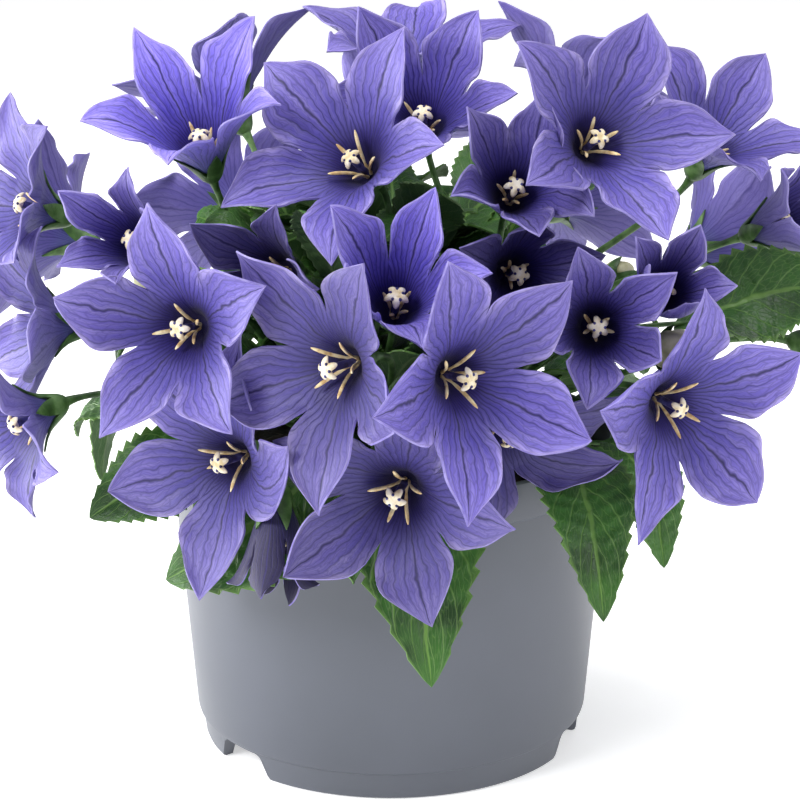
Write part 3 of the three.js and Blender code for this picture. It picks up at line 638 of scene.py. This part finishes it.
def shape_petals(flower, bends, strips, chance):
    """Wraps the flat strips into a bloom: a round cup, and five lobes with a little life in each."""
    petal, s, t = strips
    tau = np.clip((t - SINUS) / (1 - SINUS), 0, 1)
    in_cup = t <= SINUS + 1e-6
    radius, height, sway = np.zeros_like(t), np.zeros_like(t), np.zeros_like(t)
    for k, bend in enumerate(bends):
        mine = petal == k
        lift, sway[mine], reach = bend
        radius[mine], height[mine] = flower.on_midrib(t[mine], lift, reach)
    sinus_radius, _ = flower.on_midrib(SINUS)
    share = lobe_share(tau)
    ring = np.where(in_cup, radius, sinus_radius)
    bow = np.radians(HALF_TURN) * s
    curl = ring * (1 - np.cos(bow)) * share
    half = ring * np.sin(bow) * share
    # a lobe keeps within its own fifth of the bloom
    room = (radius - curl) * math.tan(math.radians(HALF_TURN)) - LOBE_GAP * np.minimum(1, 6 * tau)
    half = np.where(in_cup, half, np.sign(half) * np.minimum(np.abs(half), np.maximum(room, 0)))
    wave, slim = np.zeros_like(t), np.zeros_like(t)
    for k in range(FIVE):
        mine = petal == k
        x, e = s[mine], tau[mine]
        open_edge = np.sin(np.pi * np.clip(e, 0, 1)) ** 0.7
        left, right, beat, ruffle, dish, twist, tip_back, slimness = (
            chance.uniform(*between) for between in PETAL_LIFE.values())
        waves = np.where(x < 0, np.sin(beat * 6.3 * e + left), np.sin(beat * 5.6 * e + right))
        wave[mine] = (ruffle * waves * np.abs(x) ** 3 + dish * np.abs(x) ** 2
                      + twist * x * e) * open_edge - tip_back * e ** 4
        slim[mine] = slimness * np.minimum(1, 3 * e)
    # a furrow along the midvein, and a shallow one half way to each edge
    middle = np.sin(np.pi * np.clip(t, 0, 1))
    furrow = 0.5 * np.exp(-(s / FURROW_WIDTH) ** 2) * middle ** 0.5
    furrow = furrow + 0.18 * np.exp(-((np.abs(s) - 0.42) / FURROW_WIDTH) ** 2) * middle
    height = height + wave - furrow
    half = half * (1 - slim)
    # the strips come together in one point at the bottom of the cup
    pole = t < 1e-6
    radius, height = np.where(pole, 0, radius), np.where(pole, -0.3, height)
    curl, half = np.where(pole, 0, curl), np.where(pole, 0, half)
    return flower.place(radius - curl, height, flower.spin + PETAL_TURN * petal + sway * tau, half)


def make_petals(blank, number, flower, bends, node):
    chance = random.Random(number)
    piece = copied(blank, f"petals_{number:02d}")
    strips = on_strips(piece)
    move_corners(piece, shape_petals(flower, bends, strips, chance))
    # how light each petal is: the bloom's painted light and shade, times a random lightness of its own
    painted_light_and_tone = BLOOM_PAINTED_LIGHT.get(number, 1.0)
    each = np.array([painted_light_and_tone * chance.uniform(0.88, 1.14) for _ in range(FIVE)])
    piece.data.attributes.new("painted_light_and_tone", "FLOAT", "POINT").data.foreach_set("value", each[strips[0]])
    give_skin(piece, PETAL_SKIN, inner=1, rim=2)
    finish(piece, "petal", 60, node)


def style_blank():
    """A style with a five-lobed stigma: curled lobes fused in one skin, and between each two a dark pit
    of painted shadow.
    """
    ball = bpy.ops.mesh.primitive_uv_sphere_add
    stigma = added(ball, segments=16, ring_count=10, radius=1.2, location=(0, 0, STIGMA["middle"]))
    lobes, shadow_dots = [], []
    for k in range(FIVE):
        lobe = added(ball, segments=20, ring_count=12, radius=1.0)
        x, y, z = (corners(lobe) * (1.55, 0.95, 0.72)).T
        x = x + STIGMA["out"]
        z = z + STIGMA["lobes"] + 0.5 * x - 0.27 * x * x
        move_corners(lobe, np.column_stack((*about_z(x, y, PETAL_TURN * k + HALF_TURN), z)))
        lobes.append(lobe)
        # a dark dot between each two lobes: painted shadow in the gap
        x, y = about_z(STIGMA["out"], 0.0, PETAL_TURN * k)
        shadow_dots.append(added(ball, segments=10, ring_count=6, radius=0.4, location=(x, y, STIGMA["shadow_dots"])))
    join(stigma, *lobes)
    bpy.ops.object.transform_apply()
    modify(stigma, "REMESH", mode="VOXEL", voxel_size=0.2)
    modify(stigma, "SMOOTH", iterations=3)
    modify(stigma, "DECIMATE", ratio=0.3)
    coat(stigma, CREAM)
    column = added(bpy.ops.mesh.primitive_cylinder_add, vertices=14, radius=0.95, depth=10.5,
                   location=(0, 0, 5.25))
    for dark in (column, *shadow_dots):
        coat(dark, STYLE_AND_GAP_SHADE)
    join(stigma, column, *shadow_dots)
    bpy.ops.object.transform_apply()
    return stigma


def stamen_blank():
    """One stamen along +X: a thin filament with a long, slightly flattened anther."""
    stamen = added(bpy.ops.mesh.primitive_cylinder_add, vertices=8, radius=1.0, depth=1.0)
    bpy.ops.object.mode_set(mode="EDIT")
    for height in (0, -0.4, -0.3, -0.15, 0.15, 0.3, 0.42, 0.47):
        bpy.ops.mesh.select_all(action="SELECT")
        bpy.ops.mesh.bisect(plane_co=(0, 0, height), plane_no=(0, 0, 1))
    bpy.ops.object.mode_set(mode="OBJECT")
    x, y, z = corners(stamen).T
    along = z + 0.5
    girth = np.interp(along, (0, 0.12, 0.22, 0.35, 0.8, 0.94, 1.0),
                      (0.6, 0.4, 0.28, 0.46, 0.5, 0.36, 0.12))
    bow = 0.6 * np.sin(np.pi * along)
    move_corners(stamen, np.column_stack((along, y * girth, x * girth * 0.8 + bow)))
    coat(stamen, STAMEN)
    return stamen


def make_centre(style, stamen, number, flower, node):
    """The middle of a bloom. Where it is open the stamens lie out over the cup, else they stand."""
    chance = random.Random(400 + number)
    centre = copied(style, f"stamens_and_stigma_{number:02d}")
    x, y, z = corners(centre).T
    size = chance.uniform(0.92, 1.04)
    turn = flower.spin + CENTRE_TURN + chance.uniform(-12, 12)
    around = np.degrees(np.arctan2(y, x)) + turn
    move_corners(centre, flower.place(np.hypot(x, y) * size, z * size, around))
    rods = []
    slope = math.radians(flower.cup)
    for k in range(FIVE):
        rod = copied(stamen, "stamen")
        radius, height = flower.on_midrib(chance.uniform(0.19, 0.28))
        angle = flower.spin + CENTRE_TURN + PETAL_TURN * k + chance.uniform(-22, 22)
        start = flower.place(0.9, 1.2, angle)
        if flower.cup > CLOSED_CUP:
            end = flower.place(2.0, 9.0, angle)
        else:
            end = flower.place(radius - 2.2 * math.sin(slope),
                               height + 2.4 * math.cos(slope) + chance.uniform(-0.6, 1.4), angle)
        axis = end - start
        side = np.cross(flower.out, axis)
        side /= np.linalg.norm(side)
        up = np.cross(axis, side)
        up /= np.linalg.norm(up)
        along, across, high = corners(rod).T[:, :, None]
        move_corners(rod, start + along * axis + across * side + high * up)
        rods.append(rod)
    join(centre, *rods)
    weld(centre, 0.005, outwards=True)
    finish(centre, "centre", 50, node)


def nearest_stem(point):
    away = [np.hypot(*(polar(azimuth, distance * 1.6, 0) - point)[:2]) for azimuth, distance in STEMS]
    return int(np.argmin(away))


def stem_point(stem, z):
    azimuth, distance = STEMS[stem]
    rise = min(max((z - SOIL_LEVEL) / (STEM["fork"] - SOIL_LEVEL), 0), 1)
    return polar(azimuth, distance * (1 + (STEM["lean"] - 1) * rise), z)


def bezier(points, steps):
    """Even steps along a Bezier curve of three or four control points."""
    t = np.linspace(0, 1, steps)[:, None]
    points = [np.asarray(p, float) for p in points]
    while len(points) > 1:
        points = [(1 - t) * a + t * b for a, b in zip(points, points[1:])]
    return points[0]


def tubes(name, routes, material):
    """Round stalks along their routes, each with its own radius at every point, as one mesh."""
    curve = bpy.data.curves.new(name, "CURVE")
    curve.dimensions = "3D"
    curve.bevel_depth = 1.0
    curve.bevel_resolution = 2
    curve.use_fill_caps = True
    for points, radii in routes:
        spline = curve.splines.new("POLY")
        spline.points.add(len(points) - 1)
        for knot, at, radius in zip(spline.points, points, radii):
            knot.co = (*at, 1.0)
            knot.radius = radius
    obj = bpy.data.objects.new(name, curve)
    bpy.context.scene.collection.objects.link(obj)
    pick(obj)
    bpy.ops.object.convert(target="MESH")
    made = bpy.context.object
    made.name = made.data.name = name
    coat(made, material)
    weld(made, 0.01, outwards=True)
    return made


def make_calyx(blank, flower, bud=None):
    """A green cup under the bloom, its five points along the back of the petals' seams."""
    piece = copied(blank, "calyx")
    sepal, s, t = on_strips(piece)
    if bud is None:
        inner = [flower.on_midrib(k) for k in (0.02, 0.12, 0.22, 0.33)]
        slope = math.radians(flower.cup)
        under = [(r + 0.75 * math.sin(slope), h - 0.75 * math.cos(slope)) for r, h in inner]
        path_r = (0, 1.4, 2.6, 3.3, *(r for r, _ in under[1:]))
        path_h = (-CALYX_DEPTH - 1.2, -CALYX_DEPTH - 0.8, -2.8, -1.2, *(h for _, h in under[1:]))
    else:
        path_r = (0, 1.2, 2.2, 3.0, 0.9 * bud, 1.0 * bud + 0.5, 0.98 * bud + 0.5)
        path_h = (-CALYX_DEPTH - 1, -CALYX_DEPTH - 0.6, -2.8, -1.8, -0.3 * bud, 0.35 * bud, 0.8 * bud)
    steps = (0, 0.12, 0.24, 0.36, 0.55, 0.78, 1.0)
    radius, height = np.interp(t, steps, path_r), np.interp(t, steps, path_h)
    tau = np.clip((t - SEPALS_PART) / (1 - SEPALS_PART), 0, 1)
    joined_radius = float(np.interp(SEPALS_PART, steps, path_r))
    ring = np.where(t <= SEPALS_PART, radius, joined_radius)
    share = (1 - tau) * (1 + 0.5 * tau)
    bow = np.radians(HALF_TURN) * s
    curl = ring * (1 - np.cos(bow)) * share
    height = height - 0.4 * np.abs(s) * tau * (1 - tau)
    angle = flower.spin + HALF_TURN + PETAL_TURN * sepal
    move_corners(piece, flower.place(radius - curl, height, angle, ring * np.sin(bow) * share))
    give_skin(piece, CALYX_SKIN)
    return piece


def make_bud(flower, radius):
    """A closed balloon: five soft corners, drawn to a point."""
    bud = added(bpy.ops.mesh.primitive_uv_sphere_add, segments=40, ring_count=24, radius=1.0)
    x, y, z = corners(bud).T
    around = np.arctan2(y, x)
    wide = np.hypot(x, y) * radius
    wide = wide * (1 + 0.08 * np.cos(FIVE * around) - 0.05 * np.abs(np.cos(FIVE / 2 * around)) ** 12)
    high = np.where(z > 0, z * 1.05 + 0.35 * z ** 6, z * 0.85) * radius + 0.3 * radius
    move_corners(bud, flower.place(wide, high, flower.spin + np.degrees(around)))
    coat(bud, BUD)
    return bud


def pedicel(flower):
    """The stem a bloom grows from, and the route of its stalk with the radius at each point."""
    end = flower.place(0.0, -CALYX_DEPTH - 0.2, 0.0)
    stem = nearest_stem(flower.throat)
    start = stem_point(stem, min(max(flower.throat[2] - 36, SOIL_LEVEL + 12), STEM["fork"] - 3))
    back = end - 14 * flower.out
    up = start + 0.35 * (back - start) + (0, 0, 5)
    radii = np.interp(np.linspace(0, 1, 26), (0, 0.1, 0.9, 1.0), (1.3, 0.95, 0.85, 1.5))
    return stem, (bezier((start, up, back, end), 26), radii)


def turned(vectors, axes, degrees):
    """Vectors turned about axes at right angles to them, row by row."""
    a = np.radians(degrees)[:, None]
    return vectors * np.cos(a) + np.cross(axes, vectors) * np.sin(a)


def make_leaf(blank, start, over, tip, width, roll, chance):
    """One blade: toothed edges, a folded midrib, and a quilt raised between the side veins."""
    piece = copied(blank, "leaf")
    s, t = corners(piece)[:, 0], (corners(piece)[:, 1] + 1) / 2
    u = t[:, None]
    middle = (1 - u) ** 2 * start + 2 * u * (1 - u) * over + u ** 2 * tip
    along = 2 * (1 - u) * (over - start) + 2 * u * (tip - over)
    along /= np.linalg.norm(along, axis=1, keepdims=True)
    across = np.cross(along, (0, 0, 1.0))
    across /= np.linalg.norm(across, axis=1, keepdims=True)
    across = turned(across, along, roll * np.minimum(1, 2 * t))
    up = np.cross(across, along)
    tooth = 1 - 0.16 * ((t * TEETH) % 1.0) * (np.abs(s) > 0.99)
    half = 0.54 * width * np.clip(np.sin(np.pi * np.clip(t, 0, 1) ** 0.8), 0, 1) ** 0.75 * tooth
    fold = np.abs(s) * half * 0.16
    quilt = 0.6 * np.sin(np.pi * (t * TEETH - np.abs(s) * 4.8)) ** 2 * np.sin(np.pi * np.abs(s))
    quilt = quilt * (half / (width / 2))
    beat, shift = chance.uniform(1.5, 2.5), chance.uniform(0, 6.3)
    ruffle = 0.8 * np.sin(beat * 6.3 * t + shift + 2 * np.sign(s)) * s ** 2 * np.sin(np.pi * t)
    rib = -0.5 * np.exp(-(s / 0.1) ** 2) * np.sin(np.pi * t)
    lifted = (fold + quilt + ruffle + rib)[:, None]
    move_corners(piece, middle + across * (s * half)[:, None] + up * lifted)
    give_skin(piece, LEAF_SKIN, inner=1)
    return piece


def planned_leaves():
    """Every leaf of the part's source: start, what it bends over, tip, width, roll."""
    for start, over, tip, width, roll in LEAVES:
        yield np.array(start, float), np.array(over, float), np.array(tip, float), width, roll
    for count, first, last, radius, height, length, drop, width in TIERS:
        for i in range(count):
            azimuth = first + (last - first) * i / (count - 1)
            sway = math.sin(i * 2.4)
            start = polar(azimuth, radius, height + 3 * sway)
            tip = polar(azimuth + 8 * sway, radius + length, height - drop * (1 + 0.4 * sway))
            over = np.array((tip[0], tip[1], max(start[2], tip[2]) + 3))
            yield start, over, tip, width, 20 * sway


def grown_ends(start, over, tip, vertices):
    """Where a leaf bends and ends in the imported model, or nothing if it wasn't grown."""
    best = (FOUND_WITHIN, None)
    for drop, turn in PLACES:
        ends = [start + (*about_z(x, y, turn), z + drop) for x, y, z in (over - start, tip - start)]
        miss = sum(np.linalg.norm(vertices - at, axis=1).min() for at in (start, ends[1]))
        if miss < best[0]:
            best = (miss, ends)
    return best[1]


def petiole(stem, start, over, tip):
    """The route of a leaf's stalk from its stem into the blade, with the radius at each point."""
    foot = stem_point(stem, min(max(start[2] - 10, SOIL_LEVEL + 4), STEM["fork"] - 2))
    into = bezier((start, over, tip), 51)[4]
    bend = (foot + into) / 2 + (0, 0, 4)
    return bezier((foot, bend, into), 12), np.linspace(1.0, 0.6, 12)


def in_a_cup(points, flowers):
    """Whether a leaf along these points would stand in the open cup of a bloom."""
    for flower in flowers:
        away = np.array(points) - flower.throat
        ahead = away @ flower.out
        aside = np.linalg.norm(away - ahead[:, None] * flower.out, axis=1)
        if np.any((ahead > -2) & (ahead < 16) & (aside < 14)):
            return True
    return False


def inner_leaf(blank, number, flowers):
    """A small leaf inside the dome, with its stem, or nothing where it would stand in a cup."""
    chance = random.Random(900 + number)
    azimuth = 360 * number / INNER_LEAVES * 3 + chance.uniform(-12, 12)
    rise = chance.random()
    start = polar(azimuth, chance.uniform(10, 46 - 12 * rise), 88 + 56 * rise)
    outwards = azimuth + chance.uniform(-60, 60)
    tip = start + polar(outwards, chance.uniform(14, 24), chance.uniform(-4, 18))
    over = (start + tip) / 2 + (0, 0, 6)
    if in_a_cup((start, over, tip), flowers):
        return None
    width, roll = chance.uniform(14, 20), chance.uniform(-40, 40)
    return nearest_stem(start), make_leaf(blank, start, over, tip, width, roll, chance)


def make_stems():
    """For each stem: a piece of stalks and calyces, one of leaves, and one of buds if it bears any."""
    sepals = five_strips(6, 12, STALK)
    blade, small_blade = (flat_sheet(*steps, LEAF_TOP, LEAF_UNDER) for steps in ((12, 56), (6, 28)))
    routes, calyces, buds, leaves = ([[] for _ in STEMS] for _ in range(4))
    for stem in range(len(STEMS)):
        heights = np.linspace(SOIL_LEVEL - 8, STEM["fork"], 14)
        radii = np.interp(heights, (SOIL_LEVEL - 8, STEM["fork"]), (STEM["foot"], STEM["top"]))
        routes[stem].append(([stem_point(stem, z) for z in heights], radii))
    flowers = [Bloom(*row) for row in BLOOMS]
    for flower in flowers:
        stem, route = pedicel(flower)
        routes[stem].append(route)
        calyces[stem].append(make_calyx(sepals, flower))
    for x, y, z, azimuth, elevation, radius in BUDS:
        flower = Bloom(x, y, z, azimuth, elevation)
        stem, route = pedicel(flower)
        routes[stem].append(route)
        calyces[stem].append(make_calyx(sepals, flower, radius))
        buds[stem].append(make_bud(flower, radius))
    vertices = [node_corners(f"leafy_stem_{i + 1}") for i in range(len(STEMS))]
    for i, (start, over, tip, width, roll) in enumerate(planned_leaves()):
        stem = nearest_stem(start)
        ends = grown_ends(start, over, tip, vertices[stem])
        if ends is None:
            continue
        routes[stem].append(petiole(stem, start, *ends))
        leaves[stem].append(make_leaf(blade, start, *ends, width, roll, random.Random(700 + i)))
    for i in range(INNER_LEAVES):
        grown = inner_leaf(small_blade, i, flowers)
        if grown:
            leaves[grown[0]].append(grown[1])
    for stem in range(len(STEMS)):
        stalks = tubes("stalks", routes[stem], STALK)
        for name, slot, angle, parts in (("stalks", "leaf", 50, [stalks, *calyces[stem]]),
                                         ("leaves", "leaf", 50, leaves[stem]),
                                         ("buds", "petal", 80, buds[stem])):
            if parts:
                piece = join(*parts)
                piece.name = piece.data.name = f"{name}_{stem + 1}"
                finish(piece, slot, angle, f"leafy_stem_{stem + 1}")
    for spare in (sepals, blade, small_blade):
        remove(spare)


def spun(name, profile, sides):
    """A round body: a vertex is drawn out along the profile, and the line is spun about the middle."""
    made = added(bpy.ops.mesh.primitive_plane_add, size=1.0)
    made.name = made.data.name = name
    bpy.ops.object.mode_set(mode="EDIT")
    bpy.ops.mesh.select_all(action="SELECT")
    bpy.ops.mesh.merge(type="CENTER")
    bpy.ops.transform.translate(value=(profile[0][0], 0, profile[0][1]))
    for (r0, z0), (r1, z1) in zip(profile, profile[1:]):
        bpy.ops.mesh.extrude_region_move(TRANSFORM_OT_translate={"value": (r1 - r0, 0, z1 - z0)})
    bpy.ops.mesh.select_all(action="SELECT")
    bpy.ops.mesh.spin(steps=sides, angle=math.tau, center=(0, 0, 0), axis=(0, 0, 1))
    bpy.ops.object.mode_set(mode="OBJECT")
    weld(made, 0.01, outwards=True)
    return made


def cut(body, tool):
    modify(body, "BOOLEAN", operation="DIFFERENCE", solver="EXACT", object=tool)
    remove(tool)


def notch_tool(azimuth):
    """A block that narrows upwards, for a drainage notch in the pot's foot."""
    tool = added(bpy.ops.mesh.primitive_cube_add, size=1.0)
    x, y, z = corners(tool).T
    x = x * np.where(z > 0, NOTCH["top"], NOTCH["bottom"])
    y = y * NOTCH["depth"] - (POT["foot"] - 2)
    z = np.where(z > 0, NOTCH["height"], -1.0)
    move_corners(tool, np.column_stack((*about_z(x, y, azimuth), z)))
    modify(tool, "BEVEL", width=1.6, segments=4, limit_method="ANGLE")
    return tool


def make_pot():
    """A thin moulded wall on a stepped foot, with a rim band, rounded lips and a raised floor."""
    height, foot, step, band, rim, wall, sides = POT.values()
    underside, thickness, hub, drain, ring = FLOOR.values()
    floor = underside + thickness
    profile = (
        (0, 0), (hub, 0), (hub + 1, 1), (hub + 1, underside), (foot - 3.6, underside),
        (foot - 3.4, 0), (foot - 1.2, 0), (foot - 0.4, 0.4), (foot, 1.4), (foot + 0.6, step - 0.5),
        (foot + 0.9, step), (foot + 1.7, step + 0.5), (foot + 2.0, step + 1.6),
        (rim - 1.9, band - 0.7), (rim - 1.5, band - 0.2), (rim - 0.9, band + 0.1),
        (rim - 0.7, band + 0.6), (rim - 0.1, height - 1.4), (rim - 0.2, height - 0.4),
        (rim - 0.6, height), (rim - wall + 0.3, height), (rim - wall - 0.1, height - 0.5),
        (rim - 0.7 - wall, band + 0.4), (rim - 1.8 - wall, band - 0.6),
        (foot + 1.8 - wall, floor + 1.5), (foot - wall, floor), (0, floor),
    )
    pot = spun("nursery_pot", profile, sides)
    for azimuth in NOTCHES:
        cut(pot, notch_tool(azimuth))
    for k in range(4):
        tool = added(bpy.ops.mesh.primitive_cylinder_add, vertices=32, radius=drain, depth=6.0,
                     location=polar(90 * k, ring, underside + 1))
        bpy.ops.object.transform_apply()
        cut(pot, tool)
    coat(pot, POT_PLASTIC)
    finish(pot, "pot", 32, "pot")


def heap(x, y):
    """How far the peat lies over or under its level."""
    return 1.6 * math.sin(x * 0.31 + 1) * math.cos(y * 0.27)


def make_soil():
    """Peat that fills the pot to under its rim band, heaped and crumbly on top."""
    floor = FLOOR["underside"] + FLOOR["thickness"] + 0.3
    low = POT["foot"] + 1.8 - POT["wall"] - 0.3
    slope = (POT["rim"] - 1.8 - POT["foot"] - 1.8) / (POT["band"] - POT["step"])
    high = low + slope * (POT["band"] - 2 - floor)
    rings = [((high - 1) * (1 - k / PEAT_RINGS), SOIL_LEVEL) for k in range(PEAT_RINGS + 1)]
    soil = spun("peat", [(0, floor), (low - 0.4, floor), (high - 0.4, POT["band"] - 2), *rings], 120)
    places = corners(soil)
    for i, (x, y, z) in enumerate(places):
        if z > SOIL_LEVEL - 1:
            coarse = 1.1 * noise.noise(Vector((x, y, 0)) * 0.45)
            rough = coarse + 0.6 * noise.noise(Vector((x, y, 9)) * 1.1)
            places[i][2] = z + heap(x, y) + rough * min(1, (high - math.hypot(x, y)) / 4)
    move_corners(soil, places)
    chance = random.Random(5)
    crumbs = []
    for _ in range(CRUMBS):
        angle, far = chance.uniform(0, math.tau), (high - 4) * math.sqrt(chance.random())
        x, y = far * math.cos(angle), far * math.sin(angle)
        size = chance.uniform(0.7, 2.1)
        crumb = added(bpy.ops.mesh.primitive_ico_sphere_add, subdivisions=2, radius=1.0)
        lump = [Vector(v) * (1 + 0.45 * noise.noise(Vector(v) * 1.3 + Vector((x, y, 0))))
                for v in corners(crumb)]
        girth = (size, size * chance.uniform(0.6, 1), size * 0.7)
        move_corners(crumb, np.array(lump) * girth + (x, y, SOIL_LEVEL + heap(x, y) + 0.25 * size))
        crumbs.append(crumb)
    join(soil, *crumbs)
    coat(soil, PEAT)
    finish(soil, "soil", 70, "soil")


def make_blooms():
    petals = five_strips(ACROSS, ALONG, PETAL_BACK, PETAL_FACE, PETAL_EDGE)
    style, stamen = style_blank(), stamen_blank()
    for number, row in enumerate(BLOOMS, 1):
        flower = Bloom(*row)
        own = number <= OWN_CENTRES
        node = f"corolla_{number:02d}" if own else f"bloom_{number:02d}"
        centre_node = f"centre_{number:02d}" if own else node
        vertices = node_corners(node)
        last_row = FINE_LAST_ROW if number <= FINE_BLOOMS else LAST_ROW
        bends = []
        for petal in range(FIVE):
            lift, sway, reach = find_bend(flower, petal, last_row, vertices)
            bends.append((lift, sway, reach * DRAWN_IN.get((number, petal), 1)))
        make_petals(petals, number, flower, bends, node)
        make_centre(style, stamen, number, flower, centre_node)
    for spare in (petals, style, stamen):
        remove(spare)


def make_studio():
    floor = added(bpy.ops.mesh.primitive_plane_add, size=24.0)
    floor.name = "floor"
    made, put = new_material("pale_paper")
    close_material(put, linear("#FAFAFB"), None, 0.9,
                   Emission_Color=linear("#FFFFFF"), Emission_Strength=0.5)
    coat(floor, made)
    world = bpy.data.worlds.new("soft_studio")
    bpy.context.scene.world = world
    world.use_nodes = True
    world.node_tree.nodes["Background"].inputs[0].default_value = linear("#FFFFFF")
    world.node_tree.nodes["Background"].inputs[1].default_value = 0.38
    for name, where, size, power in LAMPS:
        lamp = bpy.data.lights.new(name, "AREA")
        lamp.size = size
        lamp.energy = power
        holder = bpy.data.objects.new(name, lamp)
        holder.location = where
        aim = Vector((0, 0, 0.1)) - Vector(where)
        holder.rotation_euler = aim.to_track_quat("-Z", "Y").to_euler()
        bpy.context.scene.collection.objects.link(holder)
    lens = bpy.data.cameras.new("camera")
    lens.lens = CAMERA["lens"]
    lens.sensor_width = 36.0
    camera = bpy.data.objects.new("camera", lens)
    camera.location = CAMERA["place"]
    camera.rotation_euler = (math.radians(90 - CAMERA["looks_down"]), 0, 0)
    bpy.context.scene.collection.objects.link(camera)
    bpy.context.scene.camera = camera
    bpy.context.scene.view_settings.view_transform = "Standard"


make_studio()
make_pot()
make_soil()
make_stems()
make_blooms()
